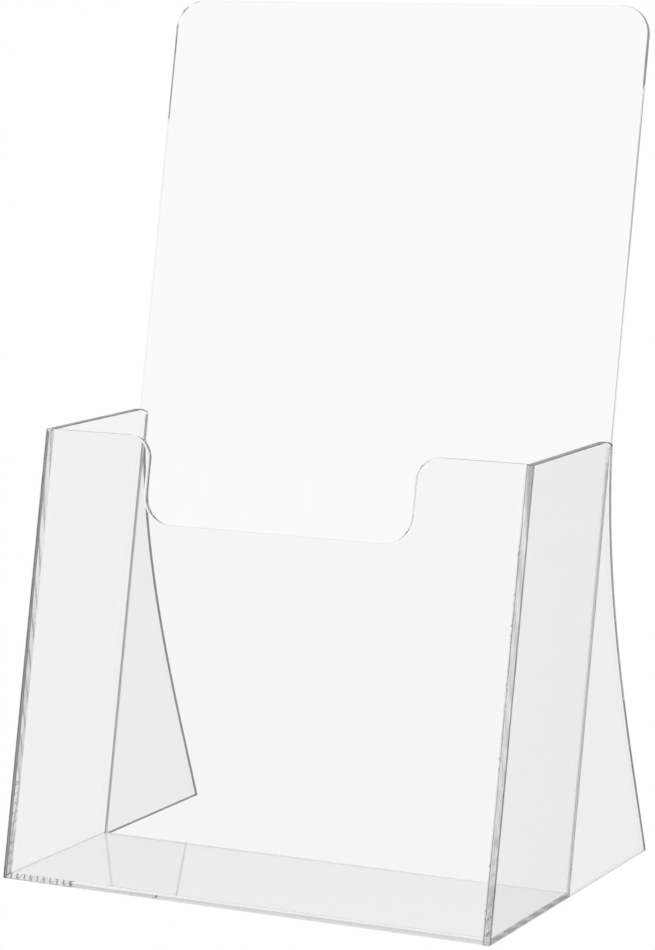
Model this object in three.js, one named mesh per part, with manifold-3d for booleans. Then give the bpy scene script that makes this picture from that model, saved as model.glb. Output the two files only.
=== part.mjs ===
// Clear acrylic leaflet rack for a counter: one leaning pocket cut from flat sheet and solvent-cemented.
// Millimetres, +Z up, the open front faces -Y. Origin: centre of the footprint, on the surface it stands on.

import * as THREE from 'three';
import { mergeVertices } from 'three/addons/utils/BufferGeometryUtils.js';
import Module from 'manifold-3d';

// ---- driving dimensions ----
const WIDTH = 108;               // outside width, over the two side panels and over the top of the back
const BASE_DEPTH = 82.1;         // front edge to the heels of the side panels, along the table
const LEAN = THREE.MathUtils.degToRad(11.34);   // both slanted panels lean back by this much
const SHEET = 1.5;               // front, back and side panel sheet
const FLOOR_SHEET = 1.0;         // floor panel sheet
const POCKET_DEPTH = 37.8;       // clear depth of the pocket along the table
const POCKET_HEIGHT = 90;        // straight top edge of the side panels above the table
const FRONT_LENGTH = 91.6;       // front panel, measured up its slope
const BACK_LENGTH = 179.5;       // back panel, measured up its slope

// The thumb cut-out in the front panel
const SCOOP_HALF_WIDTH = 29.5;
const SCOOP_DEPTH = 17.5;
const SCOOP_CORNER = 6;          // the two lower, concave corners
const SCOOP_SHOULDER = 4.7;      // the two upper, convex corners

// The back panel above the side panels
const BACK_CORNER = 6;           // rounded top corners

// Curved rear edge of each side panel, in (distance behind the front edge, height)
const HEEL_CURVE = [[58.95, 88.95], [55.45, 58.7], [72.9, 23.1], [BASE_DEPTH, 0]];
const TOP_EASE = 4.4;            // the last stretch of the top edge, which dips to the back panel
const TOP_DIP = 1.05;

// Cemented joints. The front panel laps over the left side panel's front edge and butts against the
// inside of the right side panel, whose own front edge stays in view.
const JOINT = 0.3;               // space between two sheets at a joint
const CEMENT = 0.2;              // film of cured cement in it
const CURVE_STEPS = 20;
const ARC_STEPS = 10;

const slope = Math.tan(LEAN);
const sheetRun = SHEET / Math.cos(LEAN);         // a slanted sheet's thickness along the table
const originY = -BASE_DEPTH / 2;
const innerX = WIDTH / 2 - SHEET;                // inside face of the side panels
const panelHalf = innerX - JOINT;                // half width of every sheet between them
const lapY = sheetRun + JOINT;                   // front edge of the left side panel, at the table
const backFrontY = sheetRun + POCKET_DEPTH;      // front face of the back panel, at the table
const backShoulder = (POCKET_HEIGHT - 0.25) / Math.cos(LEAN);

const wasm = await Module();
wasm.setup();

const acrylic = () => new THREE.MeshStandardMaterial({
  color: 0xeef1f2, roughness: 0.06, metalness: 0, transparent: true, opacity: 0.35,
});
const cement = () => new THREE.MeshStandardMaterial({
  color: 0xdfe3e4, roughness: 0.25, metalness: 0, transparent: true, opacity: 0.5,
});

/** Turns a closed geometry into a manifold solid. */
function toSolid(geometry) {
  const bare = geometry.clone();
  bare.deleteAttribute('normal');
  bare.deleteAttribute('uv');
  const merged = mergeVertices(bare, 1e-5);
  return new wasm.Manifold(new wasm.Mesh({
    numProp: 3,
    vertProperties: new Float32Array(merged.attributes.position.array),
    triVerts: new Uint32Array(merged.index.array),
  }));
}

/** Turns a manifold solid back into a geometry. */
function toGeometry(solid) {
  const mesh = solid.getMesh();
  const geometry = new THREE.BufferGeometry();
  geometry.setAttribute('position', new THREE.BufferAttribute(new Float32Array(mesh.vertProperties), 3));
  geometry.setIndex(new THREE.BufferAttribute(new Uint32Array(mesh.triVerts), 1));
  geometry.computeVertexNormals();
  return geometry;
}

/** Names a geometry as one piece of the rack. */
function piece(name, geometry, material) {
  const mesh = new THREE.Mesh(geometry, material);
  mesh.name = name;
  return mesh;
}

/** A closed outline of [a, b] points as a shape. */
function outline(points) {
  return new THREE.Shape(points.map(([a, b]) => new THREE.Vector2(a, b)));
}

/** Points of a circular arc from one angle to another, in degrees. */
function arc(cx, cy, radius, from, to) {
  return Array.from({ length: ARC_STEPS + 1 }, (_, i) => {
    const angle = THREE.MathUtils.degToRad(from + (to - from) * i / ARC_STEPS);
    return [cx + radius * Math.cos(angle), cy + radius * Math.sin(angle)];
  });
}

/** A profile drawn in (distance behind the front edge, height), given a width across the rack. */
function acrossRack(name, points, x0, x1, material) {
  const geometry = new THREE.ExtrudeGeometry(outline(points), { depth: x1 - x0, bevelEnabled: false });
  const mesh = piece(name, geometry, material);
  mesh.rotation.set(Math.PI / 2, 0, Math.PI / 2, 'ZYX');
  mesh.position.set(x0, originY, 0);
  return mesh;
}

/** A sheet drawn in (across, up the slope), leaning back, with its foot cut level with the table. */
function leaningSheet(name, points, rearFaceY) {
  const geometry = new THREE.ExtrudeGeometry(outline(points), { depth: SHEET, bevelEnabled: false });
  geometry.rotateX(Math.PI / 2 - LEAN);
  geometry.translate(0, rearFaceY, 0);
  const below = new THREE.BoxGeometry(2 * WIDTH, 2 * BASE_DEPTH, 20);
  below.translate(0, 0, -10);
  const mesh = piece(name, toGeometry(toSolid(geometry).subtract(toSolid(below))), acrylic());
  mesh.position.set(0, originY, 0);
  return mesh;
}

/** Front panel: from the rack's left face to the right side panel, with the thumb cut-out in its top edge. */
function frontPanel() {
  const floorOfScoop = FRONT_LENGTH - SCOOP_DEPTH;
  const right = [
    ...arc(SCOOP_HALF_WIDTH - SCOOP_CORNER, floorOfScoop + SCOOP_CORNER, SCOOP_CORNER, 270, 360),
    ...arc(SCOOP_HALF_WIDTH + SCOOP_SHOULDER, FRONT_LENGTH - SCOOP_SHOULDER, SCOOP_SHOULDER, 180, 90),
  ];
  const left = right.map(([x, s]) => [-x, s]);
  right.reverse();
  return leaningSheet('front_panel', [
    [-WIDTH / 2, -5], [panelHalf, -5], [panelHalf, FRONT_LENGTH],
    ...right, ...left, [-WIDTH / 2, FRONT_LENGTH],
  ], sheetRun);
}

/** Back panel: full width above the side panels, stepped in to pass between them below. */
function backPanel() {
  const half = WIDTH / 2;
  return leaningSheet('back_panel', [
    [-panelHalf, -5], [panelHalf, -5], [panelHalf, backShoulder], [half, backShoulder],
    ...arc(half - BACK_CORNER, BACK_LENGTH - BACK_CORNER, BACK_CORNER, 0, 90),
    ...arc(-half + BACK_CORNER, BACK_LENGTH - BACK_CORNER, BACK_CORNER, 90, 180),
    [-half, backShoulder], [-panelHalf, backShoulder],
  ], backFrontY + sheetRun);
}

/** Outline of a side panel: slanted front edge from footY, straight top, curved heel behind the back panel. */
function sideOutline(footY) {
  const [start, pullDown, pullUp, end] = HEEL_CURVE.map(([y, z]) => new THREE.Vector2(y, z));
  const heel = new THREE.CubicBezierCurve(start, pullDown, pullUp, end).getPoints(CURVE_STEPS);
  const ease = Array.from({ length: 6 }, (_, i) => {
    const t = i / 6;
    return [start.x - TOP_EASE * (1 - t), POCKET_HEIGHT - TOP_DIP * t * t];
  });
  return [
    [footY, 0], ...heel.reverse().map((p) => [p.x, p.y]), ...ease.reverse(),
    [footY + POCKET_HEIGHT * slope, POCKET_HEIGHT],
  ];
}

/** Floor of the pocket, its ends cut to the lean of the panels that it meets. */
function floorPanel() {
  const y0 = lapY;
  const y1 = backFrontY - JOINT;
  const rise = FLOOR_SHEET * slope;
  return acrossRack('floor_panel', [
    [y0, 0], [y1, 0], [y1 + rise, FLOOR_SHEET], [y0 + rise, FLOOR_SHEET],
  ], -panelHalf, panelHalf, acrylic());
}

/** A band of cement that follows the lean, from y0 to y1 behind the front edge and up to a height. */
function leaningBand(y0, y1, height) {
  return [[y0, 0], [y1, 0], [y1 + height * slope, height], [y0 + height * slope, height]];
}

const play = (JOINT - CEMENT) / 2;
const filmIn = panelHalf + play;                 // a side film lies between these two planes
const filmOut = innerX - play;
const inset = 0.1;                               // cement stops just short of the polished edges
const sheetTop = FRONT_LENGTH * Math.cos(LEAN) - 0.6;

/** The cement films that hold the five sheets together. */
function cementFilms() {
  const films = [];
  for (const [side, sign] of [['left', -1], ['right', 1]]) {
    const [x0, x1] = sign > 0 ? [filmIn, filmOut] : [-filmOut, -filmIn];
    films.push(
      acrossRack(`cement_back_${side}`,
        leaningBand(backFrontY + inset, backFrontY + sheetRun - inset, POCKET_HEIGHT - 1.4), x0, x1, cement()),
      acrossRack(`cement_floor_${side}`,
        leaningBand(lapY, backFrontY - JOINT, FLOOR_SHEET), x0, x1, cement()),
    );
  }
  films.push(
    acrossRack('cement_front_left', leaningBand(sheetRun + play, sheetRun + play + CEMENT, sheetTop),
      -WIDTH / 2 + inset, -innerX - inset, cement()),
    acrossRack('cement_front_right', leaningBand(inset, sheetRun - inset, sheetTop), filmIn, filmOut, cement()),
    acrossRack('cement_floor_front', leaningBand(sheetRun + play, sheetRun + play + CEMENT, FLOOR_SHEET),
      -panelHalf, panelHalf, cement()),
    acrossRack('cement_floor_back', leaningBand(backFrontY - play - CEMENT, backFrontY - play, FLOOR_SHEET),
      -panelHalf, panelHalf, cement()),
  );
  return films;
}

const rack = new THREE.Group();
rack.add(
  frontPanel(),
  backPanel(),
  acrossRack('left_side_panel', sideOutline(lapY), -WIDTH / 2, -innerX, acrylic()),
  acrossRack('right_side_panel', sideOutline(0), innerX, WIDTH / 2, acrylic()),
  floorPanel(),
  ...cementFilms(),
);

export default rack;
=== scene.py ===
"""Looks of a clear acrylic leaflet rack for a counter, built round its CAD frame.

Five flat sheets stand cemented together: a front panel with a thumb cut-out, a tall back panel, two side
panels whose rear edges curve out into heels, and a thin floor. Sizes are in millimetres and angles in
degrees, unless a comment says otherwise.
"""

import logging
import math
from abc import ABC, abstractmethod
from collections.abc import Callable
from dataclasses import dataclass, field
from enum import Enum

import bpy
import numpy as np
from mathutils import Matrix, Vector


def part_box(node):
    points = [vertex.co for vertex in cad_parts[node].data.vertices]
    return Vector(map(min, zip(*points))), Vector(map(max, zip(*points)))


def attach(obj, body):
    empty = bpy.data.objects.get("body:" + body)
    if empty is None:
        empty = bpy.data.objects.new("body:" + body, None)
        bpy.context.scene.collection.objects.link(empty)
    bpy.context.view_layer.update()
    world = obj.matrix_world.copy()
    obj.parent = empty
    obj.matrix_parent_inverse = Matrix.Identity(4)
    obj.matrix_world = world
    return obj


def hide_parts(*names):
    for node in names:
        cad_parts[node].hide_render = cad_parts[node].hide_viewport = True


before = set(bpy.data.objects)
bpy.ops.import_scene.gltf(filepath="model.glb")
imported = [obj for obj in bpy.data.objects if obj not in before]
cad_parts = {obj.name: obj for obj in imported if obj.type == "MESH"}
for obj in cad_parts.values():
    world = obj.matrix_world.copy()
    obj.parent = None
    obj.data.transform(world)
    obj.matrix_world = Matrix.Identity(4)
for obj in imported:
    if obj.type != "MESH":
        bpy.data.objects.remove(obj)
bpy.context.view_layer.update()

log = logging.getLogger("leaflet_rack")

MM = 0.001                       # metres in a millimetre
LEAN = math.radians(11.34)       # both slanted panels lean back by this much
SLOPE = math.tan(LEAN)
WELD = 0.01                      # welded sheets run into each other by this much, so no air is left between
HAIR = 0.05                      # slack in telling which end of a sheet a stretch of its edge lies on
CORNER = math.radians(40)        # an outline has a corner where it turns by more than this
ACRYLIC_IOR = 1.491
CEMENT_IOR = 1.49
BODY = "root"
SAME_FINISH = -1                 # Bevel's number for the finish of the faces beside an arris
MIX_A, MIX_B, MIX_OUT = 6, 7, 2  # the Mix node's colour sockets: two in, one out

Source = tuple[bpy.types.Node, str | int]                   # a node and the name or number of its output
Placing = Callable[[np.ndarray, np.ndarray], np.ndarray]    # outline points and their depths to x, y, z
Sorting = Callable[[np.ndarray], np.ndarray]                # outline points to the Edge value at each


class Side(Enum):
    """The two sides of the rack, by the sign of x."""

    LEFT = -1
    RIGHT = 1


class SheetFinish(Enum):
    """The finishes of a sheet; the value is the finish's place in the mesh's list of materials."""

    FACE = 0
    BUFFED = 1
    # the scraped finish's grey is painted shade
    SCRAPED_PAINTED_SHADE = 2


class Edge(Enum):
    """How a stretch of a sheet's edge is left; the value is its place in the two tables below."""

    WELDED = 0                   # cemented to another sheet
    STANDING = 1                 # on the table, only its outer arris eased
    POLISHED = 2                 # flamed clear
    BUFFED = 3                   # buffed to a satin
    SCRAPED_PAINTED_SHADE = 4                  # scraped, and grey with painted shade
    TRIMMED = 5                  # scraped back further, flush with another sheet, grey with painted shade


EDGE_FINISH = np.array([0, 0, 0, 1, 2, 2])                  # the SheetFinish value on each kind of edge
EDGE_ARRIS = np.array([0.0, 0.35, 0.3, 0.3, 0.3, 0.5])      # how far its arrises are eased


# ---------------------------------------------------------------- rack sizes


def node_box(name: str) -> tuple[np.ndarray, np.ndarray]:
    """Box of a CAD node.

    Args:
        name: the node's name.

    Returns:
        Its lowest and highest corners, in millimetres.
    """
    low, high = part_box(name)
    return np.array(low) / MM, np.array(high) / MM


@dataclass(frozen=True)
class RackSizes:
    """The rack's leading sizes, read off the CAD nodes."""

    half_width: float
    inner_x: float               # inner face of the right side panel
    front_y: float               # front edge of the rack, on the table
    back_y: float                # front face of the back panel, on the table
    side_top: float
    front_top: float
    back_top: float
    floor_top: float

    @classmethod
    def read(cls) -> "RackSizes":
        """Reads the sizes off the CAD nodes.

        Returns:
            The sizes.
        """
        side_low, side_high = node_box("right_side_panel")
        back_low, back_high = node_box("back_panel")
        return cls(
            half_width=side_high[0],
            inner_x=side_low[0],
            front_y=side_low[1],
            back_y=back_low[1],
            side_top=side_high[2],
            front_top=node_box("front_panel")[1][2],
            back_top=back_high[2],
            floor_top=node_box("floor_panel")[1][2],
        )

    @property
    def sheet(self) -> float:
        """Thickness of the front, back and side sheets."""
        return self.half_width - self.inner_x

    @property
    def sheet_run(self) -> float:
        """A slanted sheet's thickness measured along the table."""
        return self.sheet / math.cos(LEAN)

    def slope_length(self, top: float) -> float:
        """Length up the slope of a leaning sheet whose highest arris, its front one, is at this height."""
        return (top - self.sheet * math.sin(LEAN)) / math.cos(LEAN)


# ---------------------------------------------------------------- colour and nodes


def linear(code: str) -> tuple[float, float, float, float]:
    """Turns an sRGB hex colour into linear light.

    Args:
        code: six hex digits after a hash.

    Returns:
        Red, green, blue and an alpha of 1.
    """
    srgb = np.array([int(code[i:i + 2], 16) for i in (1, 3, 5)]) / 255
    light = np.where(srgb <= 0.04045, srgb / 12.92, ((srgb + 0.055) / 1.055) ** 2.4)
    return (*light.tolist(), 1.0)


def grey(tone: float) -> tuple[float, float, float, float]:
    """A grey of a brightness, with an alpha of 1."""
    return (tone, tone, tone, 1.0)


def add_node(tree: bpy.types.NodeTree, kind: str, values: dict[str | int, object] | None = None,
             links: dict[str | int, Source] | None = None, **settings: object) -> bpy.types.Node:
    """Adds a node with its settings and links.

    Args:
        tree: the node tree it goes in.
        kind: the node's type name.
        values: socket name or number to constant value.
        links: socket name or number to the output that feeds it.
        settings: attributes of the node itself.

    Returns:
        The new node.
    """
    node = tree.nodes.new(kind)
    for key, value in settings.items():
        setattr(node, key, value)
    for key, value in (values or {}).items():
        node.inputs[key].default_value = value
    for key, (source, output) in (links or {}).items():
        tree.links.new(source.outputs[output], node.inputs[key])
    return node


def set_ramp(node: bpy.types.Node, stops: list[tuple[float, tuple[float, float, float, float]]]) -> None:
    """Gives a colour ramp its stops.

    Args:
        node: the ramp.
        stops: (place from 0 to 1, colour) in rising order.
    """
    elements = node.color_ramp.elements
    while len(elements) > 1:
        elements.remove(elements[-1])
    elements[0].position, elements[0].color = stops[0]
    for place, colour in stops[1:]:
        elements.new(place).color = colour


def new_material(name: str) -> tuple[bpy.types.Material, bpy.types.NodeTree]:
    """An empty node material.

    Args:
        name: its name.

    Returns:
        The material and its node tree.
    """
    material = bpy.data.materials.new(name)
    material.use_nodes = True
    material.node_tree.nodes.clear()
    return material, material.node_tree


# ---------------------------------------------------------------- finishes


class Finish(ABC):
    """A finish of the rack, whose patterns lie still in the rack's own coordinates."""

    name: str

    @abstractmethod
    def shade(self, tree: bpy.types.NodeTree, place: Source) -> Source:
        """Adds the finish's nodes.

        Args:
            tree: the material's node tree.
            place: where a point lies on the rack, in metres.

        Returns:
            The finished shader.
        """

    def material(self) -> bpy.types.Material:
        """Builds the finish as a node material.

        Returns:
            The material.
        """
        material, tree = new_material(self.name)
        place = add_node(tree, "ShaderNodeTexCoord")
        add_node(tree, "ShaderNodeOutputMaterial", links={"Surface": self.shade(tree, (place, "Object"))})
        return material


@dataclass(frozen=True)
class CastSheetFace(Finish):
    """Cast PMMA sheet with its factory faces: the eye sees a clear pane that is never quite flat.

    The faces roll by about a hundredth of a millimetre over 20 to 30 mm, so lines seen through them wander.
    """

    name: str = "cast_acrylic_polished_face"
    tint: str = "#FEFEFE"
    roughness: float = 0.0
    wave: float = 24.0               # from crest to crest of the casting's waviness
    wave_height: float = 0.012

    def shade(self, tree: bpy.types.NodeTree, place: Source) -> Source:
        """Adds the finish's nodes: a clear pane whose faces follow a slow noise.

        Args:
            tree: the material's node tree.
            place: where a point lies on the rack, in metres.

        Returns:
            The finished shader.
        """
        waves = add_node(tree, "ShaderNodeTexNoise", {"Scale": 1 / (self.wave * MM), "Detail": 1.0},
                         {"Vector": place})
        bump = add_node(tree, "ShaderNodeBump", {"Strength": 1.0, "Distance": self.wave_height * MM},
                        {"Height": (waves, "Fac")})
        pane = add_node(tree, "ShaderNodeBsdfPrincipled",
                        {"Base Color": linear(self.tint), "Roughness": self.roughness, "IOR": ACRYLIC_IOR,
                         "Transmission Weight": 1.0},
                        {"Normal": (bump, "Normal")})
        return pane, "BSDF"


@dataclass(frozen=True)
class CutEdge(Finish):
    """Cast PMMA edge, machine cut, then buffed or scraped: a satin line round a clear pane, greyed by painted
    shade.

    The cutter leaves fine ridges across the sheet, so the edge scatters what it takes in.
    """

    name: str
    light: str                       # colour of the better finished stretches, a grey that is painted shade
    dark: str                        # colour of the worse finished ones, a darker grey that is painted shade
    clarity: float                   # how much of the light goes through
    smooth: float                    # roughness of the better finished stretches
    rough: float                     # roughness of the worse finished ones
    turn: tuple[float, float] = (0.35, 0.6)     # the noise goes from worse to better between these
    patch: float = 6.0               # how far apart those stretches are
    ridge: float = 0.5               # between cutter marks, drawn coarser than the real 0.1 to show
    ridge_height: float = 0.003

    def shade(self, tree: bpy.types.NodeTree, place: Source) -> Source:
        """Adds the finish's nodes: colour and roughness follow a patchy noise, the bump a fine one.

        Args:
            tree: the material's node tree.
            place: where a point lies on the rack, in metres.

        Returns:
            The finished shader.
        """
        patches = add_node(tree, "ShaderNodeTexNoise", {"Scale": 1 / (self.patch * MM), "Detail": 3.0},
                           {"Vector": place})
        # the ramp's greys are painted shade, laid on in random stretches
        tone = add_node(tree, "ShaderNodeValToRGB", links={"Fac": (patches, "Fac")})
        set_ramp(tone, [(self.turn[0], linear(self.dark)), (self.turn[1], linear(self.light))])
        buff = add_node(tree, "ShaderNodeMapRange", {"To Min": self.rough, "To Max": self.smooth},
                        {"Value": (patches, "Fac")})
        ridges = add_node(tree, "ShaderNodeTexNoise", {"Scale": 1 / (self.ridge * MM), "Detail": 2.0},
                          {"Vector": place})
        bump = add_node(tree, "ShaderNodeBump", {"Strength": 1.0, "Distance": self.ridge_height * MM},
                        {"Height": (ridges, "Fac")})
        edge = add_node(tree, "ShaderNodeBsdfPrincipled",
                        {"IOR": ACRYLIC_IOR, "Transmission Weight": self.clarity},
                        {"Base Color": (tone, "Color"), "Roughness": (buff, "Result"),
                         "Normal": (bump, "Normal")})
        return edge, "BSDF"


@dataclass(frozen=True)
class CuredCement(Finish):
    """Cured acrylic solvent cement: clear where it ran well, else milky; grey flecks trapped air, light ones
    painted glints.
    """

    name: str
    haze: float                      # how solid the milky film looks, 0 where it can't be seen
    clarity: float                   # how much of the light goes through the milky film
    share: float                     # how much of the film shows flecks
    rough: float = 0.3
    milk: str = "#F1F3F4"
    # grey flecks stand for trapped air; the starved film's light flecks are painted glints
    fleck: str = "#8F979A"
    bubble: float = 0.9              # between bubbles, drawn coarser than the real 0.3 to show
    patch: float = 14.0              # between bubbly stretches

    def shade(self, tree: bpy.types.NodeTree, place: Source) -> Source:
        """Adds the finish's nodes: a fleck wherever a cell's centre is nearer than share times a noise.

        Args:
            tree: the material's node tree.
            place: where a point lies on the rack, in metres.

        Returns:
            The finished shader.
        """
        cells = add_node(tree, "ShaderNodeTexVoronoi", {"Scale": 1 / (self.bubble * MM)}, {"Vector": place})
        patches = add_node(tree, "ShaderNodeTexNoise", {"Scale": 1 / (self.patch * MM), "Detail": 2.0},
                           {"Vector": place})
        reach = add_node(tree, "ShaderNodeMath", {1: self.share}, {0: (patches, "Fac")}, operation="MULTIPLY")
        inside = add_node(tree, "ShaderNodeMath", links={0: (cells, "Distance"), 1: (reach, "Value")},
                          operation="LESS_THAN")
        solid = add_node(tree, "ShaderNodeMath", {1: self.haze}, {0: (inside, "Value")}, operation="MAXIMUM")
        tone = add_node(tree, "ShaderNodeMix", {MIX_A: linear(self.milk), MIX_B: linear(self.fleck)},
                        {0: (inside, "Value")}, data_type="RGBA")
        film = add_node(tree, "ShaderNodeBsdfPrincipled",
                        {"Roughness": self.rough, "IOR": CEMENT_IOR, "Transmission Weight": self.clarity},
                        {"Base Color": (tone, MIX_OUT), "Alpha": (solid, "Value")})
        return film, "BSDF"


@dataclass(frozen=True)
class LapCement(Finish):
    """Cured cement in a lap joint: milky where air reached it from the open side, nearly clear further in."""

    name: str = "acrylic_cement_milky_at_the_rim"
    rim: float = -53.6               # x where the milky part ends
    milk: str = "#EDEEEE"
    rim_clarity: float = 0.6         # how much of the light goes through the milky part
    rim_rough: float = 0.3
    clear: str = "#FFFFFF"
    haze: float = 0.35               # how solid the inner part looks
    rough: float = 0.12

    def shade(self, tree: bpy.types.NodeTree, place: Source) -> Source:
        """Adds the finish's nodes: one shader up to the rim's end, another beyond it.

        Args:
            tree: the material's node tree.
            place: where a point lies on the rack, in metres.

        Returns:
            The finished shader.
        """
        across = add_node(tree, "ShaderNodeSeparateXYZ", links={"Vector": place})
        inner = add_node(tree, "ShaderNodeMath", {1: self.rim * MM}, {0: (across, "X")},
                         operation="GREATER_THAN")
        milky = add_node(tree, "ShaderNodeBsdfPrincipled",
                         {"Base Color": linear(self.milk), "Roughness": self.rim_rough, "IOR": CEMENT_IOR,
                          "Transmission Weight": self.rim_clarity})
        clear = add_node(tree, "ShaderNodeBsdfPrincipled",
                         {"Base Color": linear(self.clear), "Roughness": self.rough, "IOR": CEMENT_IOR,
                          "Transmission Weight": 1.0, "Alpha": self.haze})
        both = add_node(tree, "ShaderNodeMixShader",
                        links={0: (inner, "Value"), 1: (milky, "BSDF"), 2: (clear, "BSDF")})
        return both, "Shader"


# cast PMMA, buffed on a wheel: a clear satin edge that shows bright, its faint grey painted shade
BUFFED_EDGE = CutEdge("acrylic_cut_and_buffed_edge", light="#EEF1F2", dark="#DADFE1", clarity=1.0,
                      smooth=0.08, rough=0.24)

# cast PMMA, scraped by hand: a half clear edge that shows as a grey line of painted shade
SCRAPED_EDGE_PAINTED_SHADE = CutEdge("acrylic_cut_and_scraped_edge_painted_shade", light="#A2A8AB", dark="#7C8386", clarity=0.45,
                       smooth=0.2, rough=0.4)

# solvent cement that ran everywhere: nothing of the joint shows
CLEAN_CEMENT = CuredCement("acrylic_cement_run_clear", haze=0.0, clarity=0.9, share=0.0)

# solvent cement that dried a little too fast: lines behind it are softened
HAZY_CEMENT = CuredCement("acrylic_cement_faintly_hazy", haze=0.6, clarity=1.0, share=0.0, rough=0.12,
                          milk="#FFFFFF")

# solvent cement that closed round air: a clear strip with grey flecks in it
BUBBLY_CEMENT = CuredCement("acrylic_cement_with_trapped_air", haze=0.1, clarity=0.7, share=0.4)

# solvent cement that did not reach all of the joint: an even pale grey strip with a few light flecks of
# painted glint
STARVED_CEMENT_PAINTED_GLINTS = CuredCement("acrylic_cement_starved_grey_painted_glints", haze=1.0, clarity=0.95, share=0.1,
                             milk="#E2E3E3", fleck="#FAFBFB")

# solvent cement in a tight joint: a strip with a faint cold tint
THIN_CEMENT = CuredCement("acrylic_cement_thin_bluish", haze=0.3, clarity=1.0, share=0.0, milk="#F1F8FC")


@dataclass(frozen=True)
class Finishes:
    """The sheets' finishes, made once."""

    face: bpy.types.Material
    buffed: bpy.types.Material
    # the scraped edge finish, greyed by painted shade
    scraped_painted_shade: bpy.types.Material

    @classmethod
    def make(cls) -> "Finishes":
        """Makes every finish of the sheets."""
        return cls(CastSheetFace().material(), BUFFED_EDGE.material(), SCRAPED_EDGE_PAINTED_SHADE.material())


# ---------------------------------------------------------------- outlines and sheets


def arc(centre: tuple[float, float], radius: float, start: float, end: float, steps: int = 20) -> np.ndarray:
    """A circular arc: centre + radius (cos, sin) of an angle that goes evenly from start to end.

    Args:
        centre: its centre.
        radius: its radius.
        start: first angle.
        end: last angle.
        steps: number of steps.

    Returns:
        Points as rows.
    """
    angle = np.radians(np.linspace(start, end, steps + 1))[:, None]
    return np.array(centre) + radius * np.hstack([np.cos(angle), np.sin(angle)])


def bezier(controls: np.ndarray, steps: int = 48) -> np.ndarray:
    """A cubic Bezier curve: the four controls weighted by (1-t)^3, 3t(1-t)^2, 3t^2(1-t) and t^3.

    Args:
        controls: four points as rows.
        steps: number of steps.

    Returns:
        Points as rows.
    """
    t = np.linspace(0, 1, steps + 1)[:, None]
    weights = np.hstack([(1 - t) ** 3, 3 * t * (1 - t) ** 2, 3 * t ** 2 * (1 - t), t ** 3])
    return weights @ controls


def mirrored(points: np.ndarray) -> np.ndarray:
    """The same points on the other side of x = 0, in the opposite order."""
    return points[::-1] * np.array([-1, 1])


def sorted_edges(tests: list[tuple[Edge, np.ndarray]], otherwise: Edge) -> np.ndarray:
    """Gives each point of an outline the kind of edge whose test holds there first.

    Args:
        tests: (kind of edge, where it holds) in order.
        otherwise: the kind of edge where no test holds.

    Returns:
        The Edge values.
    """
    return np.select([holds for _, holds in tests], [kind.value for kind, _ in tests], otherwise.value)


def signed_volume(points: np.ndarray, rim: np.ndarray) -> float:
    """Volume inside a swept outline, negative if its faces point inwards.

    Each face is split into triangles from its first corner, and a triangle a, b, c adds a . (b x c) / 6.

    Args:
        points: the first face's points and then the second's.
        rim: the quads between the faces.

    Returns:
        The volume, with its sign.
    """
    quads = points[rim]
    total = np.sum(quads[:, 0] * np.cross(quads[:, 1], quads[:, 2]))
    total += np.sum(quads[:, 0] * np.cross(quads[:, 2], quads[:, 3]))
    first, second = np.split(points, 2)
    total -= np.sum(first[0] * np.cross(first, np.roll(first, -1, axis=0)))
    total += np.sum(second[0] * np.cross(second, np.roll(second, -1, axis=0)))
    return float(total / 6)


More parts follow.
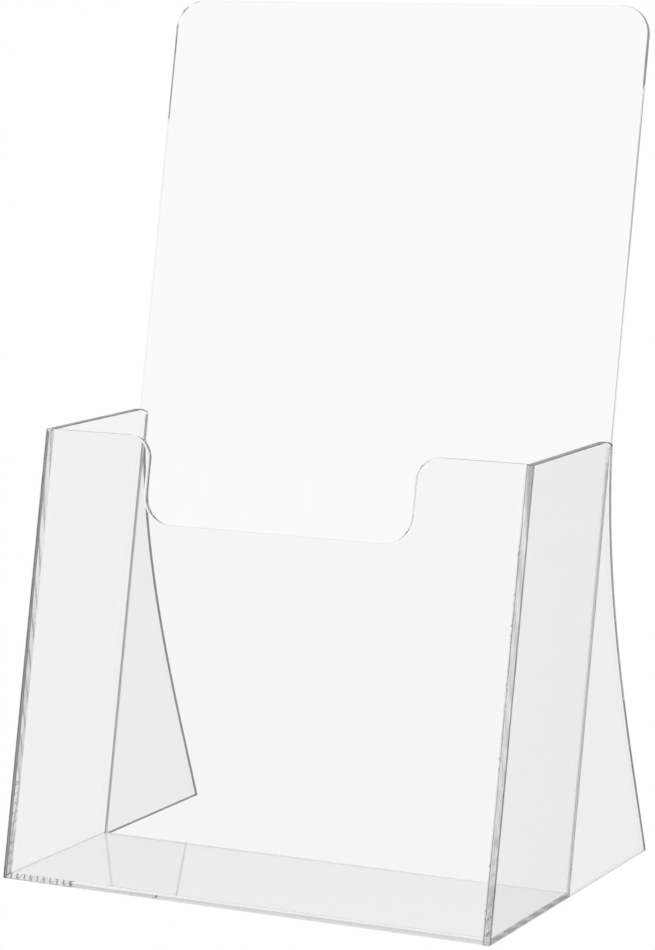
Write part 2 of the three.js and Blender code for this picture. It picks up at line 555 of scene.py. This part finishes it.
@dataclass
class Sheet:
    """A flat sheet: an outline swept straight through the sheet's thickness, its arrises eased."""

    name: str
    outline: np.ndarray              # closed, one row a point
    depths: tuple[float, float]      # where the two faces lie
    place: Placing
    edges: Sorting
    arris_share: float = 1.0         # of the usual arris width
    painted_shade_arris: bool = False         # whether every arris takes the grey scraped finish, which is painted shade
    arris_steps: int = 4

    def edge_values(self) -> np.ndarray:
        """The Edge value of each stretch of the outline, taken at its middle."""
        return self.edges((self.outline + np.roll(self.outline, -1, axis=0)) / 2)

    def ease_arrises(self, mesh: bpy.types.Mesh) -> None:
        """Marks which edges of the mesh are eased, and how far. A welded arris stays sharp and closed.

        Point i of the outline is vertex i on the first face and i + count on the second. An edge of the mesh
        runs across from one face to the other, or along the outline from point i to the next.

        Args:
            mesh: the sheet's mesh, before its bevel.
        """
        count = len(self.outline)
        ahead = np.roll(self.outline, -1, axis=0) - self.outline
        heading = np.arctan2(ahead[:, 1], ahead[:, 0])
        turn = np.abs(np.angle(np.exp(1j * (heading - np.roll(heading, 1)))))
        corner = turn > CORNER
        kinds = self.edge_values()
        free = kinds != Edge.WELDED.value
        share = EDGE_ARRIS[kinds] / EDGE_ARRIS.max()
        ends = np.empty(2 * len(mesh.edges), np.int32)
        mesh.edges.foreach_get("vertices", ends)
        ends = np.sort(ends.reshape(-1, 2), axis=1)
        low, high = ends[:, 0] % count, ends[:, 1] % count
        across = low == high
        along = np.where(high - low == count - 1, high, low)
        kept = (kinds[along] == Edge.STANDING.value) & (ends[:, 0] < count)
        eased = np.where(across, corner[low] & free[low] & free[low - 1], free[along] & ~kept)
        sharp = np.where(across, corner[low] & ~eased, ~eased)
        size = np.where(across, np.minimum(share[low], share[low - 1]), share[along])
        weight = mesh.attributes.new("bevel_weight_edge", "FLOAT", "EDGE")
        weight.data.foreach_set("value", (eased * size).astype(np.float32))
        crease = mesh.attributes.new("sharp_edge", "BOOLEAN", "EDGE")
        crease.data.foreach_set("value", sharp)

    def swept_mesh(self, finishes: Finishes) -> bpy.types.Mesh:
        """Sweeps the outline: point i of face j is place(outline i, depth j), and quads join the two faces.

        Args:
            finishes: the sheets' finishes.

        Returns:
            The mesh, with its finishes and its arrises marked.
        """
        count = len(self.outline)
        points = np.vstack([self.place(self.outline, np.full(count, depth)) for depth in self.depths])
        here = np.arange(count)
        after = np.roll(here, -1)
        rim = np.stack([here, after, after + count, here + count], axis=1)
        mesh = bpy.data.meshes.new(self.name)
        mesh.from_pydata((points * MM).tolist(), [],
                         [here[::-1].tolist(), (here + count).tolist(), *rim.tolist()])
        for material in (finishes.face, finishes.buffed, finishes.scraped_painted_shade):
            mesh.materials.append(material)
        faces = [SheetFinish.FACE.value] * 2
        mesh.polygons.foreach_set("material_index",
                                  np.r_[faces, EDGE_FINISH[self.edge_values()]].astype(np.int32))
        mesh.polygons.foreach_set("use_smooth", np.ones(len(mesh.polygons), bool))
        if signed_volume(points, rim) < 0:
            mesh.flip_normals()
        mesh.update(calc_edges=True)
        self.ease_arrises(mesh)
        return mesh

    def build(self, finishes: Finishes) -> bpy.types.Object:
        """Builds the sheet.

        Args:
            finishes: the sheets' finishes.

        Returns:
            The sheet as an object.
        """
        sheet = bpy.data.objects.new(self.name, self.swept_mesh(finishes))
        bpy.context.scene.collection.objects.link(sheet)
        bevel = sheet.modifiers.new("eased arris", "BEVEL")
        bevel.width = self.arris_share * EDGE_ARRIS.max() * MM
        bevel.segments = self.arris_steps
        bevel.limit_method = "WEIGHT"
        bevel.harden_normals = True
        # grey arrises are painted shade: dark lines along the rims
        bevel.material = SheetFinish.SCRAPED_PAINTED_SHADE.value if self.painted_shade_arris else SAME_FINISH
        return sheet


# ---------------------------------------------------------------- the five panels


@dataclass
class LeaningPanels:
    """The front and back panels, parallel sheets that lean back, with their feet cut level."""

    rack: RackSizes
    scoop_half_width: float = 29.5
    scoop_depth: float = 17.5
    scoop_corner: float = 6.0        # the two lower, concave corners
    scoop_shoulder: float = 4.7      # the two upper, convex corners
    back_corner: float = 6.0
    step_drop: float = 0.95          # the back's step sits down on the dipping ends of the side panels
    starved_gap: float = 0.15        # air left in the joint between the back and the left side panel
    painted_shade_start: float = 16.0        # where the grey scraped finish, painted shade, starts down the back's right end from the top

    def lean(self, rear_y: float) -> Placing:
        """How a leaning sheet is placed: x across, u up the slope and w out of its front face.

        The point is (x, rear_y + u sin - w cos, u cos + w sin); on the foot, u is what makes z zero.

        Args:
            rear_y: where its rear face meets the table.

        Returns:
            The placing function.
        """
        sine, cosine = math.sin(LEAN), math.cos(LEAN)

        def place(outline: np.ndarray, depth: np.ndarray) -> np.ndarray:
            """Places points of the outline.

            Args:
                outline: the points, (across, up the slope).
                depth: how far each is in front of the rear face.

            Returns:
                x, y and z as rows.
            """
            up = np.where(outline[:, 1] <= 0, -depth * SLOPE, outline[:, 1])
            return np.stack([outline[:, 0], rear_y + up * sine - depth * cosine,
                             up * cosine + depth * sine], axis=1)

        return place

    def front(self) -> Sheet:
        """The front panel, with its thumb cut-out; it laps over the left side panel's front edge.

        Returns:
            The sheet.
        """
        rack = self.rack
        length = rack.slope_length(rack.front_top)
        bottom = length - self.scoop_depth
        shoulder = (self.scoop_half_width + self.scoop_shoulder, length - self.scoop_shoulder)
        corner = (self.scoop_half_width - self.scoop_corner, bottom + self.scoop_corner)
        right_scoop = np.vstack([arc(shoulder, self.scoop_shoulder, 90, 180),
                                 arc(corner, self.scoop_corner, 360, 270)])
        left_end, right_end = -rack.half_width, rack.inner_x + WELD
        outline = np.vstack([[left_end, 0], [right_end, 0], [right_end, length], right_scoop,
                             mirrored(right_scoop), [left_end, length]])

        def edges(middles: np.ndarray) -> np.ndarray:
            """Tells how each stretch of the edge is left.

            Args:
                middles: the middle of each stretch, (across, up the slope).

            Returns:
                Their Edge values.
            """
            across, up = middles.T
            # the scraped and trimmed stretches are grey with painted shade
            return sorted_edges([(Edge.WELDED, across > rack.inner_x),
                                 (Edge.STANDING, up <= 0),
                                 (Edge.TRIMMED, across < left_end + HAIR),
                                 (Edge.POLISHED, np.abs(across) < shoulder[0])], Edge.SCRAPED_PAINTED_SHADE)

        return Sheet("front_sheet", outline, (0.0, rack.sheet),
                     self.lean(rack.front_y + rack.sheet_run), edges)

    def back(self) -> Sheet:
        """The back panel: it passes between the side panels and steps out to full width above them.

        Returns:
            The sheet.
        """
        rack = self.rack
        length = rack.slope_length(rack.back_top)
        step = (rack.side_top - self.step_drop) / math.cos(LEAN)
        start = length - self.painted_shade_start
        inner, outer = rack.inner_x + WELD, rack.half_width
        corner = (outer - self.back_corner, length - self.back_corner)
        right = np.vstack([[inner, 0], [inner, step], [outer, step], [outer, start],
                           arc(corner, self.back_corner, 0, 90)])
        left = mirrored(right)
        left[-2:, 0] += self.starved_gap        # its last two points are the end below the step
        outline = np.vstack([right, left])

        def edges(middles: np.ndarray) -> np.ndarray:
            """Tells how each stretch of the edge is left.

            Args:
                middles: the middle of each stretch, (across, up the slope).

            Returns:
                Their Edge values.
            """
            across, up = middles.T
            return sorted_edges([(Edge.WELDED, (across > rack.inner_x) & (up <= step)),
                                 (Edge.WELDED, up <= 0),
                                 (Edge.SCRAPED_PAINTED_SHADE, (across > corner[0]) & (up > start))], Edge.POLISHED)

        return Sheet("back_sheet", outline, (0.0, rack.sheet),
                     self.lean(rack.back_y + rack.sheet_run), edges)


@dataclass
class SidePanels:
    """The two side panels: slanted front edge, level top that dips at its end, rear edge curved to a heel."""

    rack: RackSizes
    heel: tuple[tuple[float, float], ...] = ((58.95, 88.95), (55.45, 58.7), (72.9, 23.1), (82.1, 0.0))
    top_ease: float = 4.4            # the last stretch of the top edge, which dips to the back panel
    top_dip: float = 1.05
    ease_steps: int = 8
    painted_shade_dip: float = 0.21        # the top edge takes the grey scraped finish, painted shade, as far as it has dipped by this much
    arris_share: float = 0.67        # of the usual arris width

    def outline(self, foot: float) -> np.ndarray:
        """Outline in (distance behind the rack's front edge, height).

        Along the ease, t goes evenly from 0 to 1 and the height is the top less top_dip t^2.

        Args:
            foot: where the front edge meets the table.

        Returns:
            Points as rows.
        """
        heel = bezier(np.array(self.heel))
        top = self.rack.side_top
        t = np.linspace(0, 1, self.ease_steps + 1)[:-1]
        ease = np.stack([heel[0, 0] - self.top_ease * (1 - t), top - self.top_dip * t ** 2], axis=1)
        return np.vstack([[foot, 0], heel[::-1], ease[::-1], [foot + top * SLOPE, top]])

    def side(self, side: Side) -> Sheet:
        """One side panel, swept along x from its inner to its outer face.

        Args:
            side: which one.

        Returns:
            The sheet.
        """
        rack = self.rack
        sign = side.value
        foot, front_edge = {Side.LEFT: (rack.sheet_run - WELD, Edge.WELDED),
                            Side.RIGHT: (0.0, Edge.BUFFED)}[side]

        def place(outline: np.ndarray, depth: np.ndarray) -> np.ndarray:
            """Places outline points at a depth outside the inner face."""
            return np.stack([sign * (rack.inner_x + depth), rack.front_y + outline[:, 0],
                             outline[:, 1]], axis=1)

        def edges(middles: np.ndarray) -> np.ndarray:
            """Tells how each stretch of the edge is left.

            Args:
                middles: the middle of each stretch, (distance behind the rack's front edge, height).

            Returns:
                Their Edge values.
            """
            behind, height = middles.T
            at_front = (behind - height * SLOPE < rack.sheet_run) & (height < rack.side_top)
            return sorted_edges([(Edge.STANDING, height <= 0),
                                 (front_edge, at_front),
                                 (Edge.SCRAPED_PAINTED_SHADE, height > rack.side_top - self.painted_shade_dip)], Edge.POLISHED)

        return Sheet(f"{side.name.lower()}_side_sheet", self.outline(foot), (0.0, rack.sheet), place, edges,
                     arris_share=self.arris_share, painted_shade_arris=True)


@dataclass
class PocketFloor:
    """The thin floor that closes the bottom of the pocket."""

    rack: RackSizes

    def sheet(self) -> Sheet:
        """The floor, a rectangle swept upwards with the lean, so that its long edges meet the panels flat.

        Returns:
            The sheet.
        """
        rack = self.rack
        front, back = rack.front_y + rack.sheet_run - WELD, rack.back_y + WELD
        half = rack.inner_x + WELD
        outline = np.array([[-half, front], [half, front], [half, back], [-half, back]])

        def place(points: np.ndarray, depth: np.ndarray) -> np.ndarray:
            """Places outline points at a height."""
            return np.stack([points[:, 0], points[:, 1] + depth * SLOPE, depth], axis=1)

        def edges(middles: np.ndarray) -> np.ndarray:
            """All four edges are welded."""
            return np.full(len(middles), Edge.WELDED.value)

        return Sheet("floor_sheet", outline, (0.0, rack.floor_top), place, edges)


@dataclass
class Panels:
    """The five acrylic sheets."""

    rack: RackSizes

    def build(self, finishes: Finishes) -> None:
        """Builds the five sheets and fastens each to the rack's body, in place of its CAD node.

        Args:
            finishes: the sheets' finishes.
        """
        leaning, sides = LeaningPanels(self.rack), SidePanels(self.rack)
        sheets = {
            "front_panel": leaning.front(),
            "back_panel": leaning.back(),
            "left_side_panel": sides.side(Side.LEFT),
            "right_side_panel": sides.side(Side.RIGHT),
            "floor_panel": PocketFloor(self.rack).sheet(),
        }
        for node, sheet in sheets.items():
            piece = sheet.build(finishes)
            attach(piece, BODY)
            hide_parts(node)
            log.info("%s stands for %s", piece.name, node)


# ---------------------------------------------------------------- cement


@dataclass
class CementSeams:
    """The films of cement that hold the sheets together, each as well run as its joint allowed."""

    runs: dict[str, Finish] = field(default_factory=lambda: {
        "cement_front_left": LapCement(),
        "cement_front_right": BUBBLY_CEMENT,
        "cement_back_left": STARVED_CEMENT_PAINTED_GLINTS,
        "cement_back_right": THIN_CEMENT,
        "cement_floor_left": CLEAN_CEMENT,
        "cement_floor_right": HAZY_CEMENT,
        "cement_floor_front": CLEAN_CEMENT,
        "cement_floor_back": CLEAN_CEMENT,
    })

    def dress(self) -> None:
        """Gives every film its finish; films that share one share its material."""
        made = {run: run.material() for run in dict.fromkeys(self.runs.values())}
        for name, run in self.runs.items():
            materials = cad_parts[name].data.materials
            materials.clear()
            materials.append(made[run])
            log.info("%s is %s", name, run.name)


# ---------------------------------------------------------------- studio


@dataclass(frozen=True)
class Camera:
    """A long lens to the rack's right and a little above it."""

    lens: float = 132.41
    film_width: float = 36.0
    azimuth: float = 26.162          # to the rack's right
    elevation: float = 8.327         # above the horizon
    roll: float = 0.385
    target: tuple[float, float, float] = (8.414, -19.45, 84.393)
    distance: float = 689.28
    nearest: float = 10.0            # nothing closer than this is drawn

    def add(self) -> None:
        """Adds the camera, turned to its target."""
        azimuth, elevation, roll = np.radians([self.azimuth, self.elevation, self.roll])
        forward = np.array([-math.sin(azimuth) * math.cos(elevation),
                            math.cos(azimuth) * math.cos(elevation), -math.sin(elevation)])
        level = np.array([math.cos(azimuth), math.sin(azimuth), 0.0])
        upright = np.cross(level, forward)
        matrix = np.eye(4)
        matrix[:3, 0] = math.cos(roll) * level + math.sin(roll) * upright
        matrix[:3, 1] = math.cos(roll) * upright - math.sin(roll) * level
        matrix[:3, 2] = -forward
        matrix[:3, 3] = (np.array(self.target) - self.distance * forward) * MM
        data = bpy.data.cameras.new("camera")
        data.sensor_width = self.film_width
        data.lens = self.lens
        data.clip_start = self.nearest * MM
        camera = bpy.data.objects.new("camera", data)
        camera.matrix_world = Matrix(matrix.tolist())
        bpy.context.scene.collection.objects.link(camera)
        bpy.context.scene.camera = camera


@dataclass(frozen=True)
class Card:
    """A round card far off in the room, darker or brighter than what is behind it."""

    azimuth: float                   # from straight behind the rack, to its right
    elevation: float                 # above the horizon
    reach: float                     # from its middle to its rim
    tone: float                      # its brightness
    blur: float = 2.0                # how far its rim fades, inwards and outwards

    def over(self, tree: bpy.types.NodeTree, direction: Source, behind: Source) -> Source:
        """Lays the card over what is behind it, wherever direction . middle is above the cosine of its reach.

        Args:
            tree: the room's node tree.
            direction: which way the light comes from.
            behind: colour of what is behind the card.

        Returns:
            The colour with the card in it.
        """
        side, rise = math.radians(self.azimuth), math.radians(self.elevation)
        middle = (math.sin(side) * math.cos(rise), math.cos(side) * math.cos(rise), math.sin(rise))
        facing = add_node(tree, "ShaderNodeVectorMath", {1: middle}, {0: direction}, operation="DOT_PRODUCT")
        cover = add_node(tree, "ShaderNodeMapRange",
                         {"From Min": math.cos(math.radians(self.reach + self.blur)),
                          "From Max": math.cos(math.radians(self.reach - self.blur))},
                         {"Value": (facing, "Value")}, interpolation_type="SMOOTHSTEP")
        card = add_node(tree, "ShaderNodeMix", {MIX_B: grey(self.tone)},
                        {0: (cover, "Result"), MIX_A: behind}, data_type="RGBA")
        return card, MIX_OUT


@dataclass(frozen=True)
class Studio:
    """A white light table in a soft grey room: bright behind and under the clear sheets, darker above."""

    reach: float = 30000.0           # half the table's side
    gap: float = 0.02                # the table lies this far under the rack's cut edges
    table_light: float = 1.0
    bounces: int = 128               # no path of light is followed further than this many
    # (elevation, brightness of the room)
    room: tuple[tuple[float, float], ...] = (
        (-90, 1.0), (6.0, 1.0), (10.0, 1.0), (14.0, 0.6), (35, 0.3), (70, 0.6), (90, 1.0))
    cards: tuple[Card, ...] = (
        Card(26.0, -8.0, 14.0, 0.5), Card(-153.8, 12.0, 18.0, 0.52), Card(-153.8, -40.0, 36.0, 0.12),
        Card(-26.0, 23.0, 13.0, 0.75))

    def table(self) -> None:
        """Adds the light table. Light that has met the sheets comes from the room instead of it."""
        corners = np.array([[-1, -1, 0], [1, -1, 0], [1, 1, 0], [-1, 1, 0]]) * self.reach
        corners[:, 2] = -self.gap
        mesh = bpy.data.meshes.new("light_table")
        mesh.from_pydata((corners * MM).tolist(), [], [(0, 1, 2, 3)])
        # opal acrylic, lit from below: an even white with no shading
        material, tree = new_material("opal_acrylic_light_table")
        glow = add_node(tree, "ShaderNodeEmission",
                        {"Color": linear("#FFFFFF"), "Strength": self.table_light})
        add_node(tree, "ShaderNodeOutputMaterial", links={"Surface": (glow, "Emission")})
        mesh.materials.append(material)
        table = bpy.data.objects.new("light_table", mesh)
        bpy.context.scene.collection.objects.link(table)
        table.visible_glossy = False
        table.visible_transmission = False

    def light(self) -> None:
        """Sets the room: a brightness that follows the height of the direction, and the cards over it."""
        world = bpy.data.worlds.new("soft_room")
        bpy.context.scene.world = world
        world.use_nodes = True
        tree = world.node_tree
        tree.nodes.clear()
        direction = (add_node(tree, "ShaderNodeTexCoord"), "Generated")
        parts = add_node(tree, "ShaderNodeSeparateXYZ", links={"Vector": direction})
        height = add_node(tree, "ShaderNodeMapRange", {"From Min": -1.0, "From Max": 1.0},
                          {"Value": (parts, "Z")})
        ramp = add_node(tree, "ShaderNodeValToRGB", links={"Fac": (height, "Result")})
        set_ramp(ramp, [((1 + math.sin(math.radians(angle))) / 2, grey(tone)) for angle, tone in self.room])
        colour = (ramp, "Color")
        for card in self.cards:
            colour = card.over(tree, direction, colour)
        glow = add_node(tree, "ShaderNodeBackground", links={"Color": colour})
        add_node(tree, "ShaderNodeOutputWorld", links={"Surface": (glow, "Background")})

    def set_view(self) -> None:
        """Plain colours, and enough bounces for light to cross the sheets edge-on."""
        scene = bpy.context.scene
        scene.view_settings.view_transform = "Standard"
        for kind in ("max_bounces", "transmission_bounces", "glossy_bounces", "transparent_max_bounces"):
            setattr(scene.cycles, kind, self.bounces)
        scene.cycles.use_denoising = True

    def build(self) -> None:
        """Builds the table, the light, the view and the camera."""
        self.table()
        self.light()
        self.set_view()
        Camera().add()
        log.info("studio is set, with %d cards in the room", len(self.cards))


# ---------------------------------------------------------------- main


def main() -> None:
    """Builds the studio, the rack's sheets and its cement, and reports each piece."""
    logging.basicConfig(level=logging.INFO, format="%(name)s: %(message)s")
    rack = RackSizes.read()
    finishes = Finishes.make()
    Studio().build()
    Panels(rack).build(finishes)
    CementSeams().dress()


if __name__ == "__main__":
    main()
